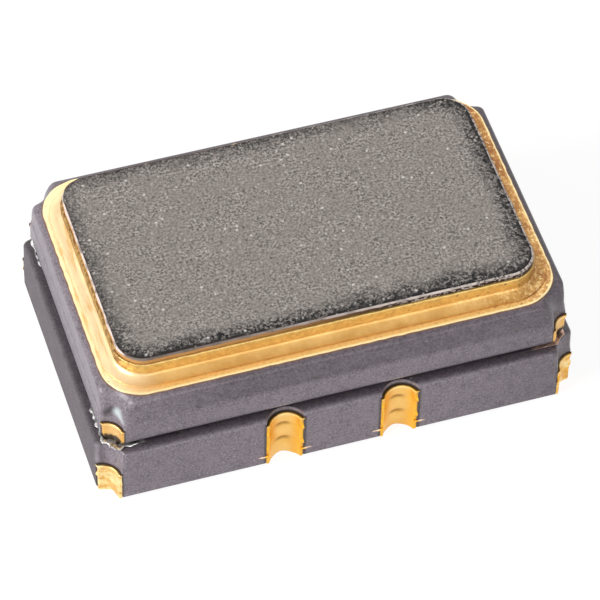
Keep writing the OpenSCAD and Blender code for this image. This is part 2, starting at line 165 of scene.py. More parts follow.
# Round spots in a share of the cells of a random pattern: 1 in a spot, 0 outside
def spots(place, scale, radius, share):
    cells = place.node("ShaderNodeTexVoronoi", {"feature": "F1"}, {"Vector": place, "Scale": scale})
    draw = place.node("ShaderNodeSeparateColor", {}, {0: cells.other("Color")})
    chosen = draw.fade(1 - share, 1 - share + 0.02)
    return cells.fade(radius * scale, radius * scale * 0.5) * chosen


# A colour with others laid over it in turn: the share of each, and a wire or a paint of the look
def layered(look, colour, *covers):
    for share, over in covers:
        colour = share.tint(colour, over if isinstance(over, Wire) else look[over])
    return colour


# The shader and its output, with bumps from a height
def finish(place, sockets, height, depth):
    relief = {"Strength": 1.0, "Distance": depth * mm, "Height": height}
    sockets["Normal"] = place.node("ShaderNodeBump", {}, relief)
    shader = place.node("ShaderNodeBsdfPrincipled", {}, sockets)
    place.node("ShaderNodeOutputMaterial", {}, {"Surface": shader})


# Distance outward from the edge of a rounded rectangle: what lies past the corner circles'
# centres, less their radius, and below zero inside
def edgeDistance(place, half, radius):
    across, along, _ = axes(place)
    x, y = across.size() - (half[0] - radius), along.size() - (half[1] - radius)
    return x.most(0.0).length(y.most(0.0)) + x.most(y).least(0.0) - radius


# Distance outward from the round notches about four upright axes, one in each quarter
def notchDistance(place, axis, radius):
    across, along, _ = axes(place)
    return (across.size() - axis[0]).length(along.size() - axis[1]) - radius


# Distance from the straight line between two points: what is left of the way from the first
# point once its share along the line, held between the ends, is taken off. A taper makes it
# larger towards the last point.
def lineDistance(place, first, last, taper=0.0):
    step = Vector(last) - Vector(first)
    gone = place.vector("SUBTRACT", {0: place, 1: first})
    share = place.vector("DOT_PRODUCT", {0: gone, 1: step}, "Value")
    share = (share * (1 / step.length_squared)).most(0.0).least(1.0)
    along = place.vector("SCALE", {0: step, "Scale": share})
    return place.vector("DISTANCE", {0: gone, 1: along}, "Value") + share * taper


# Meshes

# One four-sided face for each cell of a grid of closed loops, its ends joined where it is a ring
def gridFaces(rows, cols, ring, start):
    r = np.arange(rows if ring else rows - 1)[:, None] * cols
    up = (r + cols) % (rows * cols)
    c = np.arange(cols)[None, :]
    on = (c + 1) % cols
    return (np.stack([r + c, r + on, up + on, up + c], -1).reshape(-1, 4) + start).tolist()


# An object in the scene for a mesh, a lamp or a camera
def linked(name, data):
    made = bpy.data.objects.new(name, data)
    scene.collection.objects.link(made)
    return made


# A piece from its shells. Each is a grid whose rows are closed loops; its ends are capped,
# or joined to each other where it is a ring.
def makePiece(name, shells, material, replaced):
    points, faces, start = [], [], 0
    for grid, ring in shells:
        rows, cols = grid.shape[:2]
        points.append(grid.reshape(-1, 3))
        faces += gridFaces(rows, cols, ring, start)
        if not ring:
            last = start + (rows - 1) * cols
            faces += [list(range(start, start + cols)), list(range(last, last + cols))]
        start += rows * cols
    mesh = bpy.data.meshes.new(name)
    mesh.from_pydata((np.concatenate(points) * mm).tolist(), [], faces)
    shell = bmesh.new()
    shell.from_mesh(mesh)
    bmesh.ops.remove_doubles(shell, verts=shell.verts, dist=weld * mm)
    bmesh.ops.recalc_face_normals(shell, faces=shell.faces)
    shell.to_mesh(mesh)
    shell.free()
    mesh.shade_smooth()
    mesh.set_sharp_from_angle(angle=math.radians(hardAngle))
    mesh.materials.append(material)
    piece = linked(name, mesh)
    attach(piece, "root")
    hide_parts(*replaced)


# Loops at one height each, as points in space
def atHeights(loops, heights):
    z = np.broadcast_to(np.asarray(heights, float)[:, None, None], (*loops.shape[:2], 1))
    return np.concatenate([loops, z], -1)


# Arc about a centre, from one angle to another, for each row
def arc(x, y, radius, start, end, count):
    x, y, radius, start, end = np.broadcast_arrays(*np.atleast_1d(x, y, radius, start, end))
    angle = start[:, None] + (end - start)[:, None] * np.linspace(0, 1, count)
    away = np.stack([np.cos(angle), np.sin(angle)], -1)
    return np.stack([x, y], -1)[:, None] + radius[:, None, None] * away


# Points along a straight side, crowded towards its ends so that its corners shade cleanly
def straight(x0, x1, y):
    t = np.array([0.015, 0.06, 0.2, 0.35, 0.5, 0.65, 0.8, 0.94, 0.985])
    x = x0[:, None] + (x1 - x0)[:, None] * t
    return np.stack([x, np.broadcast_to(y[:, None], x.shape)], -1)


# Points turned by a quarter: (x, y) becomes (-y, x)
def turned(points):
    return np.stack([-points[..., 1], points[..., 0]], -1)


# Even lumps along a closed path: nine sine waves with whole counts round it, at random phases
def waver(along, fewest, most, size, seed):
    dice = np.random.default_rng(seed)
    counts = dice.integers(fewest, most + 1, 9)
    waves = np.sin(2 * math.pi * (along[..., None] * counts + dice.uniform(0, 1, 9)))
    return waves.sum(-1) * size / 3


# Rounded rectangle: corner arcs joined by straight sides, with the outward normal and the
# share of the way round at each point
def roundedPath(half, radius, perCorner=18, perSide=44):
    places, normals = [], []
    spread = np.linspace(0, 1, perSide + 2)[1:-1, None]
    centres = [(1, -1), (1, 1), (-1, 1), (-1, -1)]
    for i, sign in enumerate(centres):
        turn = (i - 1) * quarter + np.linspace(0, quarter, perCorner)
        out = np.stack([np.cos(turn), np.sin(turn)], -1)
        centre = np.array(sign) * (np.array(half) - radius)
        ahead = np.array(centres[(i + 1) % 4]) * (np.array(half) - radius)
        side = out[-1]
        places += [centre + radius * out, centre + radius * side + (ahead - centre) * spread]
        normals += [out, np.broadcast_to(side, (perSide, 2))]
    places, normals = np.concatenate(places), np.concatenate(normals)
    steps = np.linalg.norm(np.roll(places, -1, 0) - places, axis=1)
    return places, normals, np.concatenate([[0], np.cumsum(steps)[:-1]]) / steps.sum()


# A profile of (distance outward, height) carried along a path by its normals, with a sway
# along the path that each point of the profile takes a share of
def carried(path, profile, sway=None, swayed=None):
    places, normals = path[:2]
    profile = np.asarray(profile, float)
    out = np.broadcast_to(profile[:, :1], (len(profile), len(places)))
    if sway is not None:
        out = out + np.asarray(swayed, float)[:, None] * sway
    return atHeights(places + out[..., None] * normals, profile[:, 1])


# Points of a quarter or other round in a profile
def roundOff(x, z, radius, start, end, count):
    angle = np.linspace(start, end, count)
    return np.stack([x + radius * np.cos(angle), z + radius * np.sin(angle)], -1)


# Finishes
# In a look, three whole numbers are a colour on a screen, and three others a noise (scale, detail,
# roughness) or spots (scale, radius, share). Two numbers are the ends of a fade, or the middle and
# width of a line. A notch has its axis, radius, rim width and the heights where its rim is dark.

ceramicLook = dict(
    body=(118, 108, 116), pale=(152, 142, 151), dark=(82, 73, 80), framePale=(104, 94, 102),
    frameDark=(66, 57, 64), shade=(34, 26, 32), lowDark=(72, 66, 70), lowPale=(104, 97, 101),
    rim=(40, 32, 31), rust=(122, 74, 56), paleHighlight=(196, 206, 208), paleSpeckAndHighlight=(176, 168, 176),
    mottle=(9.0, 4.0, 0.65), grain=(48.0, 2.0, 0.6), specks=(9.0, 0.013, 0.3), frameUp=(1.04, 1.1),
    frameAcross=(-2.4, -0.9), belowUp=(1.1, 1.05), rightAcross=(0.8, 2.3), lowUp=(0.73, 0.69),
    leftAcross=(-2.36, -2.48), seamUp=(0.732, 0.14), ledgeUp=(0.695, 0.04), ledge=(0.05, 0.0),
    ledgeRound=0.05, ledgeAcross=(-2.46, -2.4), rustLine=(0.006, 0.024), rustUp=(1.34, 1.36),
    notchHighlight=((-2.268, -1.4, 1.15), (-2.232, -1.47, 1.06)), notchHighlightTaper=0.04, notchHighlightOut=(0.088, 0.012),
    hollow=((-2.37, -1.335, 1.1), (-2.31, -1.365, 1.17)), hollowOut=(0.075, 0.0),
    edgeHighlight=((-2.49, -1.385, 0.44), (-2.49, -1.385, 0.64)), edgeHighlightOut=(0.06, 0.0),
    rough=0.36, gloss=0.5, bump=0.0016, rimBelow=0.01, rimAbove=(0.024, 0.008),
    notches=(((0.6, 1.665), 0.205, 0.04, 0.0, 0.632), ((2.5, 1.6), 0.21, 0.026, 0.0, 0.385),
             ((2.425, 1.525), 0.19, 0.026, 0.74, 0.96)))


# Fired ceramic: soft mottling, a fine grain and sparse pale specks. Painted shade darkens the upper
# deck's frame layer away from its left end, standing in for a darker reflection, darkens what lies
# below it at the right end, and darkens the lower deck's left face, which is also rougher. The seam
# between the decks and the ledge below it are painted in deep shade, the notches have painted shade
# as dark rims round their plating, and a thin rust-coloured line runs along the seal's gold. One
# upper notch has painted shade in its hollow top and a pale bluish painted highlight on its wall,
# where it is glossier, and the deck's edge below it has a pale painted highlight.
def ceramicFinish(name, look):
    material, place = newFinish(name)
    across, _, height = axes(place)
    mottle = noise(place, *look["mottle"])
    grain = noise(place, *look["grain"])
    uneven = (mottle * 0.3 + grain * 0.7).fade(0.34, 0.66)
    darker = uneven.tint(look["frameDark"], look["framePale"])
    # painted shade: the frame layer darker away from its left end, standing in for a darker reflection
    frameLayer = height.fade(*look["frameUp"]) * across.fade(*look["frameAcross"])
    # painted shade: darker towards the right end below the frame layer
    rightEnd = across.fade(*look["rightAcross"]) * height.fade(*look["belowUp"])
    # painted shade on the lower deck's left face, which is also rougher
    lowLeft = height.fade(*look["lowUp"]) * across.fade(*look["leftAcross"])
    # painted shade on the ledge below the seam, and with it deep painted shade in the seam
    ledge = edgeDistance(place, upperDeck["half"], look["ledgeRound"]).fade(*look["ledge"])
    ledge = height.line(*look["ledgeUp"]) * (ledge * across.fade(*look["ledgeAcross"])) * 0.6
    colour = layered(
        look, uneven.tint(look["dark"], look["pale"]), (mottle.fade(0.3, 0.7) * 0.3 + 0.25, "body"),
        (frameLayer * 0.85, darker), (rightEnd * 0.45, darker),
        (lowLeft * 0.9, uneven.tint(look["lowDark"], look["lowPale"])),
        (height.line(*look["seamUp"]).most(ledge) * 0.97, "shade"))
    # painted shade: dark rims round the plating in the notches
    for axis, radius, width, low, high in look["notches"]:
        near = notchDistance(place, axis, radius).fade(width, width * 0.2)
        part = height.fade(low - look["rimBelow"], low) * height.fade(*(high + up for up in look["rimAbove"]))
        colour = layered(look, colour, (near * part * 0.85, "rim"))
    gold = edgeDistance(place, sealRing["flatHalf"], sealRing["flatRadius"])
    rust = gold.line(*look["rustLine"]) * height.fade(*look["rustUp"])
    # painted shade in the hollow top of one upper notch
    hollow = lineDistance(place, *look["hollow"]).fade(*look["hollowOut"])
    # painted highlight: a pale bluish streak down one upper notch's wall, where it is also glossier
    notchHighlight = lineDistance(place, *look["notchHighlight"], look["notchHighlightTaper"])
    notchHighlight = (notchHighlight + (mottle - 0.5) * 0.05).fade(*look["notchHighlightOut"])
    # painted highlight: a pale streak along the edge of the lower deck's notch below it
    edgeHighlight = lineDistance(place, *look["edgeHighlight"])
    edgeHighlight = (edgeHighlight + (mottle - 0.5) * 0.08).fade(*look["edgeHighlightOut"])
    colour = layered(
        look, colour, (rust * 0.75, "rust"), (spots(place, *look["specks"]) * 0.6, "paleSpeckAndHighlight"),
        (hollow * 0.85, "rim"), (notchHighlight * 0.85, "paleHighlight"), (edgeHighlight * 0.4, "paleSpeckAndHighlight"))
    rough = look["rough"] + (grain - 0.5) * 0.18 + lowLeft * 0.45 - notchHighlight * 0.15
    finish(place, {"Base Color": colour, "Roughness": rough, "Specular IOR Level": look["gloss"]},
           grain + mottle * 1.5, look["bump"])
    return material


goldLook = dict(
    body=(224, 178, 104), deep=(188, 134, 62), pale=(244, 204, 136), cream=(250, 226, 184),
    brown=(150, 98, 52), bright=(255, 236, 180), pit=(112, 70, 30), patch=(5.0, 3.0, 0.55),
    grain=(26.0, 3.0, 0.6), rough=0.4, metal=0.7, bump=0.0022)


# Gold plating over a fired metal layer: fine grain, deeper and paler patches, small pits
def goldFinish(name, look, detail):
    material, place = newFinish(name)
    patch = noise(place, *look["patch"])
    grain = noise(place, *look["grain"])
    colour = layered(look, patch.fade(0.3, 0.72).tint(look["deep"], look["pale"]),
                     (grain.fade(0.25, 0.8) * 0.3 + 0.5, "body"))
    colour, pits = detail(place, colour, grain, look)
    rough, relief = look["rough"] + (grain - 0.5) * 0.3, grain
    if pits:
        colour, rough, relief = layered(look, colour, (pits, "pit")), rough + pits * 0.25, grain - pits
    finish(place, {"Base Color": colour, "Roughness": rough, "Metallic": look["metal"]}, relief, look["bump"])
    return material


terminalLook = dict(
    goldLook, body=(247, 194, 98), deep=(230, 166, 58), pale=(254, 214, 134), groove=(142, 96, 34),
    blotch=(214, 150, 48), flank=(251, 186, 30), cream=(248, 228, 166), land=(238, 206, 178),
    stainAndShade=(26, 19, 22), rough=0.42, mottle=(10.0, 3.0, 0.65), creamAcross=(-1.9, -2.3),
    landOut=(0.004, 0.02), landUp=(0.05, 0.08), grooveWidth=0.085, brightDown=0.022,
    brightWidth=0.036, endDown=(0.009, 0.002), stainAndShadeAbove=0.03, stainAndShadeBelow=0.02)
packageLook = dict(
    terminalLook, body=(236, 190, 118), deep=(216, 162, 84), pale=(246, 206, 140), flank=(240, 184, 92))


# Terminal gold: deeper yellow at the sides of its notch, with a painted highlight below its upper
# end, which is painted in shade, a painted highlight on each swell and painted shade in a short
# groove at each joint of the layers. Corner terminals are blotched, with a painted cream highlight
# at the left end. A package terminal's foot is stained by the solder and painted in shade, and the
# printed lands' edges are pale.
def terminalDetail(kind):
    def detail(place, colour, grain, look):
        across, along, height = axes(place)
        x, y = across.size() - kind["axis"][0], along.size() - kind["axis"][1]
        aside = ((x - y) * 0.7 if kind["atCorner"] else x).size()
        gap, top = kind["opening"], kind["top"]
        covers = [(aside.fade(gap * 0.4, gap * 0.85) * 0.75, "flank")]
        if kind["atCorner"]:
            mottle = noise(place, *look["mottle"])
            # painted highlight: cream towards the left end of the corner terminals
            covers += [(across.fade(*look["creamAcross"]) * kind["cream"], "cream"),
                       (mottle.fade(0.48, 0.6) * kind["blotch"], "blotch"),
                       (mottle.fade(0.48, 0.36) * kind["cream"], "bright")]
        else:
            out = notchDistance(place, kind["axis"], lowerDeck["sideNotch"])
            covers += [(out.fade(*look["landOut"]) * height.fade(*look["landUp"]), "land")]
        central = aside.fade(gap * 0.55, gap * 0.15)
        # painted highlight on each swell between joints and painted shade in the groove at each joint
        for below, above in zip(kind["joints"], kind["joints"][1:]):
            swell = height.line((below + above) / 2, above - below) * central
            groove = height.line(above, look["grooveWidth"]) * central
            covers += [(swell * 0.35, "pale"), (groove * kind["groove"], "groove")]
        # painted highlight in a line below the upper end, and painted shade on the end itself
        covers += [(height.line(top - look["brightDown"], look["brightWidth"]) * 0.5, "bright"),
                   (height.fade(*(top - down for down in look["endDown"])) * 0.9, "stainAndShade")]
        # the foot of a package terminal: solder stain, with painted shade over it
        stainAndShade = kind["stainAndShade"]
        if stainAndShade:
            foot = height + (grain - 0.5) * 0.08
            foot = foot.fade(stainAndShade + look["stainAndShadeAbove"], stainAndShade - look["stainAndShadeBelow"])
            covers += [(foot * aside.fade(gap * 0.85, gap * 0.6) * 0.95, "stainAndShade")]
        return layered(look, colour, *covers), None
    return detail


sealLook = dict(
    goldLook, flat=(252, 206, 130), foot=(160, 104, 48), mottle=(11.0, 4.0, 0.7), crust=(30.0, 3.0, 0.7),
    streak=(1.0, 3.0, 0.6), stretch=(24.0, 3.0, 24.0), pits=(14.0, 0.012, 0.12), speckAcross=(0.8, 1.9),
    creamAcross=(-1.7, -2.2), brownAcross=(1.75, 2.2), brownAlong=(-0.4, 0.9), crustAcross=(1.0, 2.0),
    streakAcross=(-1.95, -2.15), streakAlong=(1.25, 0.95), footAcross=(-2.0, -1.2), footWidth=0.034,
    rim=(-0.026, -0.01))


# Seal gold: streaked and with a painted cream highlight at the left end, browner and crusted at the
# right one, with a brown line at the foot of the braze and a painted highlight along the outer edge
def sealDetail(place, colour, grain, look):
    across, along, _ = axes(place)
    foot = sealRing["brazeWidth"]
    out = edgeDistance(place, sealRing["half"], sealRing["radius"])
    rim = edgeDistance(place, sealRing["flatHalf"], sealRing["flatRadius"])
    flat = out.fade(foot - 0.002, foot + 0.004)
    speckle = grain.fade(0.5, 0.66) * (flat * 0.7 + across.fade(*look["speckAcross"]) * 0.5)
    mottle = noise(place, *look["mottle"])
    worn = mottle.fade(0.35, 0.62) * 0.5 + 0.35 + along.fade(*look["brownAlong"]) * 0.2
    crust = noise(place, *look["crust"])
    right = across.fade(*look["crustAcross"])
    streak = noise(place.vector("MULTIPLY", {0: place, 1: look["stretch"]}), *look["streak"])
    left = across.fade(*look["streakAcross"]) * along.size().fade(*look["streakAlong"])
    line = out.line(foot + 0.002, look["footWidth"]) * (0.12 + across.fade(*look["footAcross"]) * 0.25)
    colour = layered(
        look, colour, (flat * 0.9, "flat"), (speckle * 0.45, "deep"),
        # painted highlight: cream towards the left end
        (across.fade(*look["creamAcross"]) * 0.75, "cream"),
        (across.fade(*look["brownAcross"]) * worn, "brown"),
        (right * crust.fade(0.52, 0.64) * 0.6, "brown"), (right * crust.fade(0.45, 0.35) * 0.55, "bright"),
        (left * streak.fade(0.5, 0.66) * 0.75, "body"), (left * streak.fade(0.46, 0.32) * 0.6, "bright"),
        # painted highlight along the flat's outer edge
        (line, "foot"), (rim.fade(*look["rim"]) * 0.8, "bright"))
    return colour, spots(place, *look["pits"]) * flat * 0.6


ringLook = dict(
    goldLook, wallPale=(228, 196, 122), wallDark=(194, 156, 88), uneven=(16.0, 3.0, 0.7),
    pits=(18.0, 0.02, 0.3), brownAcross=(1.9, 2.15), darkAcross=(-2.02, -2.14), pitAcross=(0.2, 1.8))


# Wall of the ring: rougher and darker, with close pits that crowd at the right end
def ringDetail(place, colour, grain, look):
    across = axes(place)[0]
    uneven = noise(place, *look["uneven"])
    dark = across.fade(*look["darkAcross"]) * (uneven.fade(0.4, 0.6) * 0.5 + 0.35)
    colour = layered(look, (uneven.fade(0.35, 0.65) * 0.6).tint(look["wallPale"], look["wallDark"]),
                     (across.fade(*look["brownAcross"]) * 0.55, "brown"), (dark, "pit"))
    return colour, spots(place, *look["pits"]) * (0.15 + across.fade(*look["pitAcross"]) * 0.5)


lidLook = dict(
    body=(138, 131, 126), pale=(177, 169, 163), dark=(91, 86, 83), halo=(56, 54, 53), black=(18, 16, 16),
    dot=(224, 219, 212), edge=(232, 219, 212), worn=(74, 58, 50), side=(56, 38, 28),
    leftSide=(196, 146, 88), grain=(39.0, 2.0, 0.7), coarse=(16.0, 3.0, 0.65), cloud=(2.2, 3.0, 0.6),
    calm=(5.0, 2.0, 0.5), crumb=(27.0, 2.0, 0.6), wear=(7.0, 2.0, 0.6), dots=(9.0, 0.019, 0.4),
    pits=(12.0, 0.02, 0.7), flecks=(15.0, 0.016, 0.6), haloIn=(0.24, 0.02), burntIn=(0.09, 0.03),
    crumbIn=(0.24, 0.06), wornIn=(0.035, 0.015), edgeIn=(0.019, 0.011), roughIn=(0.04, 0.02),
    frontAlong=(-0.7, -1.15), burntAcross=(1.6, 2.0), brightAcross=(-1.6, 1.4), wornAcross=(1.2, -1.0),
    brokenAcross=(1.0, 1.7), leftAcross=(-2.08, -2.13), narrowAcross=(1.8, 2.1), sideAcross=(-1.4, 0.8),
    dashAcross=(0.2, 1.0), sideFrom=0.014, sideTo=0.026, metal=0.2, rough=0.62, gloss=0.3, bump=0.0022)


# Lid: matt blasted metal, grainy in some patches and calm in others, with pale dots, dark pits
# and small flecks. A dark speckled halo lies inside its edge, and burnt crumbs in that, widest
# at the front and the right. The edge's upper round has a pale painted highlight, broken at the
# right, and is worn at the left. Its lower side is painted dark brown as shade, with pale dashes,
# and lighter at the left.
def lidFinish(name, look, lid):
    material, place = newFinish(name)
    across, along, height = axes(place)
    grain, coarse, cloud, calm, crumb, worn = (
        noise(place, *look[kind]) for kind in ("grain", "coarse", "cloud", "calm", "crumb", "wear"))
    calm, crumb = calm.fade(0.38, 0.62), crumb.fade(0.5, 0.58)
    inside = 0.0 - edgeDistance(place, lid["half"], lid["radius"])
    reach = inside + along * 0.025 - across * 0.01 + (cloud - 0.5) * 0.32 + (coarse - 0.5) * 0.14
    halo = reach.fade(*look["haloIn"]) * ((grain + coarse * 0.5).fade(0.85, 0.65) * 0.7 + 0.3)
    dots = spots(place, *look["dots"])
    ends = along.fade(*look["frontAlong"]).most(across.fade(*look["burntAcross"])) * 0.65 + 0.35
    burnt = inside.fade(*look["burntIn"]) * worn.fade(0.4, 0.54) * ends
    burnt = burnt.most((inside + (worn - 0.5) * 0.3).fade(*look["crumbIn"]) * crumb * ends)
    wornLeft = inside.fade(*look["wornIn"]) * across.fade(*look["wornAcross"])
    # painted highlight on the edge's upper round: its strength, broken by crumbs at the right and raised at
    # the far left
    bright = (worn.fade(0.3, 0.62) * 0.5 + 0.4) * (across.fade(*look["brightAcross"]) * 0.75 + 0.25)
    bright = bright * (1.0 - crumb * across.fade(*look["brokenAcross"]) * 0.75)
    bright = bright.most(across.fade(*look["leftAcross"]) * (worn.fade(0.35, 0.5) * 0.6 + 0.3))
    edge = (inside - across.fade(*look["narrowAcross"]) * 0.009).fade(*look["edgeIn"])
    # painted shade on the lid's lower side, dark brown, lighter at the left, with pale dashes
    side = layered(look, across.fade(*look["sideAcross"]).tint(look["leftSide"], look["side"]),
                   (crumb * across.fade(*look["dashAcross"]) * 0.6, "edge"))
    colour = layered(
        look, (grain * 0.85 + coarse * 0.15).fade(0.385, 0.615).tint(look["dark"], look["pale"]),
        (cloud.fade(0.3, 0.7) * 0.2 + calm * 0.42, "body"), (halo, "halo"), (dots * 0.75, "dot"),
        (burnt, "black"), (spots(place, *look["pits"]) * 0.6, "halo"),
        (spots(place, *look["flecks"]) * 0.4, "dot"), (wornLeft * 0.8, "worn"), (edge * bright, "edge"),
        (height.fade(lid["top"] - look["sideFrom"], lid["top"] - look["sideTo"]), side))
    rough = look["rough"] + (grain - 0.5) * 0.3 + inside.fade(*look["roughIn"]) * 0.25
    finish(place, {"Base Color": colour, "Roughness": rough, "Metallic": look["metal"],
                   "Specular IOR Level": look["gloss"]}, grain + coarse * 0.8 + dots * 0.5, look["bump"])
    return material


# A plain finish with a little unevenness, for solder and the pieces inside. Where it is unshaded
# only outward from a distance across, the rest is painted shade, dull and dark.
def plainFinish(name, first, second, scale, rough, metal, bump, extra=None, unshadedAcross=None):
    material, place = newFinish(name)
    uneven = noise(place, scale, 3.0, 0.6)
    colour = uneven.fade(0.3, 0.7).tint(first, second)
    if unshadedAcross:
        # painted shade: inward of the distance across, the solder takes a dark ceramic colour and no metal
        unshaded = axes(place)[0].size().fade(*unshadedAcross)
        colour, metal = unshaded.tint(ceramicLook["frameDark"], colour), unshaded * metal
    sockets = {"Base Color": colour, "Roughness": rough + (uneven - 0.5) * 0.2, "Metallic": metal}
    finish(place, {**sockets, **(extra or {})}, uneven, bump)
    return material


# Decks

lowerDeck = dict(
    node="lower_ceramic", cornerNotch=0.21, edgeSoft=0.02, bareSoft=0.06, bareFrom=0.4, flare=0.02,
    sideNotch=0.205, sideDepth=0.14, sidePlaces=(-0.6, 0.6), bottomRound=0.012, topRound=0.05, step=0.0,
    cavity=(1.75, 0.85), cavityRound=0.15, floor=0.235)
upperDeck = dict(
    node="upper_ceramic", half=(2.425, 1.525), cornerNotch=0.19, edgeSoft=0.022, bareSoft=0.075,
    bareFrom=0.98, flare=0.1, sidePlaces=(), bottomRound=0.09, topRound=0.06, step=0.012, stepHeight=1.055,
    stepMiddle=0.012, stepRise=0.05, stepLoops=6, stepApart=0.03, cavity=(1.875, 0.975), cavityRound=0.1,
    floor=1.055)
bareBlend = 0.05  # height over which a notch's plated form turns into its bare one
widening = 0.45  # how much a bare notch widens for each mm that the deck's edge goes in


# Front right corner: the side's fillet, the notch's arc about the deck's own corner, and
# the next fillet. Each fillet's circle touches the side and the notch circle.
def notchedCorner(a, b, notch, soft, inset):
    reach = np.sqrt((notch + soft) ** 2 - (inset + soft) ** 2)
    lean = np.arcsin((inset + soft) / (notch + soft))
    return np.concatenate([
        arc(a - reach, -b + inset + soft, soft, -quarter, -lean, 6),
        arc(a, -b, notch, math.pi - lean, quarter + lean, 28),
        arc(a - inset - soft, -b + reach, soft, lean - quarter, 0, 6)], 1)


# Notch in the front side, built in the same way about an axis outside the face
def sideNotch(x, b, radius, depth, soft, inset):
    lean = np.arcsin((radius - depth + inset + soft) / (radius + soft))
    reach = (radius + soft) * np.cos(lean)
    return np.concatenate([
        arc(x - reach, -b + inset + soft, soft, -quarter, -lean, 6),
        arc(x, -b - radius + depth, radius, math.pi - lean, lean, 34),
        arc(x + reach, -b + inset + soft, soft, lean - math.pi, -quarter, 6)], 1)


# Sections of half a deck's outline: the front, its right corner, the right side and the
# next corner. The other half is the same turned by 180 degrees. Corner notches are softer
# where they are bare, widen round the top edge and flare out with the cube of the height.
def deckSections(deck, half, rows):
    a, b = half
    inset, height = rows.T
    above = height - deck["bareFrom"]
    bare = np.clip(above / bareBlend, 0, 1)
    soft = deck["edgeSoft"] + (deck["bareSoft"] - deck["edgeSoft"]) * bare
    rise = np.clip(above / above[-1], 0, 1)
    widened = widening * np.clip(inset - deck["step"], 0, 1) * bare
    notch = deck["cornerNotch"] + widened + deck["flare"] * rise ** 3
    corner = notchedCorner(a, b, notch, soft, inset)
    second = turned(notchedCorner(b, a, notch, soft, inset))
    sections, x = [], -corner[:, 0, 0]
    for place in deck["sidePlaces"]:
        cut = sideNotch(place, b, deck["sideNotch"], deck["sideDepth"], deck["edgeSoft"], inset)
        sections += [straight(x, cut[:, 0, 0], inset - b), cut]
        x = cut[:, -1, 0]
    sections += [straight(x, corner[:, 0, 0], inset - b), corner]
    side = straight(corner[:, -1, 1], second[:, 0, 1], inset - a)
    return sections + [turned(side), second]


# Half an outline, and after it the same half turned by 180 degrees: (x, y) becomes (-x, -y)
def wholeLoop(sections):
    half = np.concatenate(sections, 1)
    return np.concatenate([half, -half], 1)


# Inset and height of each loop of a deck, from its underside up to its top face. The step
# between two layers is eased by half a cosine wave.
def deckRows(deck, low, high):
    bottom, top, step = deck["bottomRound"], deck["topRound"], deck["step"]
    rows = [(bottom + support, low)]
    rows += [(bottom + x, z) for x, z in roundOff(0, low + bottom, bottom, -quarter, -math.pi, 9) if z >= low]
    rows += [(0, low + bottom + support)]
    rows += [(0, deck["bareFrom"] + z) for z in (0, 0.015, 0.03, bareBlend)]
    if step:
        z, rise = deck["stepHeight"], deck["stepRise"]
        rows += [(step * (1 - math.cos(math.pi * t)) / 2, z + deck["stepMiddle"] + rise * (t - 0.5))
                 for t in np.linspace(0, 1, 8)]
        rows += [(step, z + rise + deck["stepApart"] * i) for i in range(deck["stepLoops"])]
    rows += [(step, high - top - support)]
    rows += [(step + top + x, z) for x, z in roundOff(0, high - top, top, math.pi, quarter, 9)]
    rows += [(step + top + 0.012, high)]
    return np.array(rows)


# A deck: the loops of its outline from the underside up to the top face, then the cavity's loop
# from the top face down to its floor
def makeDeck(name, deck, material):
    low, high = nodeBox(deck["node"])
    rows = deckRows(deck, low[2], high[2])
    sections = deckSections(deck, high[:2], rows)
    loops = atHeights(wholeLoop(sections), rows[:, 1])
    # the cavity's loop has a point in the direction of each point of the outline without its notches
    chords = []
    for section in sections:
        first, last = section[-1:, :1], section[-1:, -1:]
        chords.append(first + (last - first) * np.linspace(0, 1, section.shape[1])[None, :, None])
    plain = wholeLoop(chords)[0]
    rim = roundedPath(deck["cavity"], deck["cavityRound"], 40, 60)[0]
    bearing = np.arctan2(plain[:, 1], plain[:, 0])
    rimBearing = np.arctan2(rim[:, 1], rim[:, 0])
    cavity = np.stack([np.interp(bearing, rimBearing, rim[:, i], period=2 * math.pi) for i in (0, 1)], -1)
    levels = [high[2], high[2] - support, deck["floor"]]
    inner = atHeights(np.broadcast_to(cavity, (3, *cavity.shape)), levels)
    makePiece(name, [(np.concatenate([loops, inner]), False)], material, [deck["node"]])


# Seal and lid
# A sway is the fewest and the most waves round the path, their size and their seed

sealRing = dict(
    half=(2.178, 1.248), radius=0.305, width=0.22, brazeWidth=0.12, brazeTip=0.012, brazeHeight=0.065,
    flatHalf=(2.343, 1.443), flatRadius=0.42, innerFlat=0.24, topRound=0.012, edgeRound=0.006,
    rimFlat=0.02, besideBraze=0.05, swayFrom=(0.06, 0.1), belowRound=0.02, besideRound=0.03,
    flatSway=(30, 90, 0.003, 4), brazeSway=(24, 70, 0.004, 7), wallSway=(40, 120, 0.0035, 9))
lidPlate = dict(
    setback=0.014, topRound=0.025, besideRound=0.012, seamRound=0.02, core=0.285, flatFrom=0.15,
    sway=(20, 80, 0.0035, 2))


